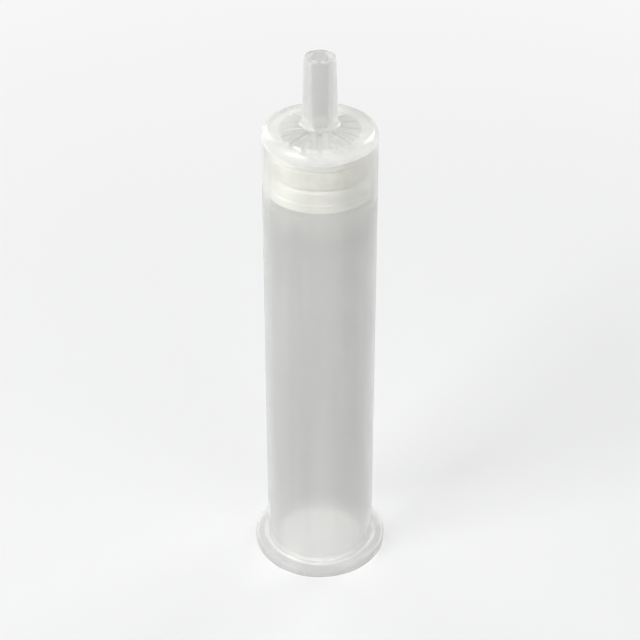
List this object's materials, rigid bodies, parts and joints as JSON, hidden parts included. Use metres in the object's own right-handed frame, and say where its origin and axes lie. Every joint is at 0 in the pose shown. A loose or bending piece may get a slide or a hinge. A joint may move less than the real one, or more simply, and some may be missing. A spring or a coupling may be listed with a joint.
{
  "type": "solid phase extraction cartridge",
  "caption": "Syringe-barrel extraction cartridge: flanged open mouth, straight reservoir, membrane stack under a retaining ring on a ribbed drain floor, and a male Luer slip tip.",
  "frame": {"origin": "centre of the mouth flange's open face, on which the cartridge stands", "axes": "+Z along the cartridge's axis, from the open mouth to the Luer tip; X and Y alike"},
  "size_m": [0.0184, 0.0184, 0.0767],
  "materials": {
    "barrel": "satin",
    "ring": "satin",
    "prefilter": "matte",
    "membrane": "matte"
  },
  "bodies": {
    "root": {"barrel": "barrel", "retaining_ring": "ring", "prefilter": "prefilter", "upper_membrane": "membrane", "lower_membrane": "membrane"}
  },
  "joints": []
}
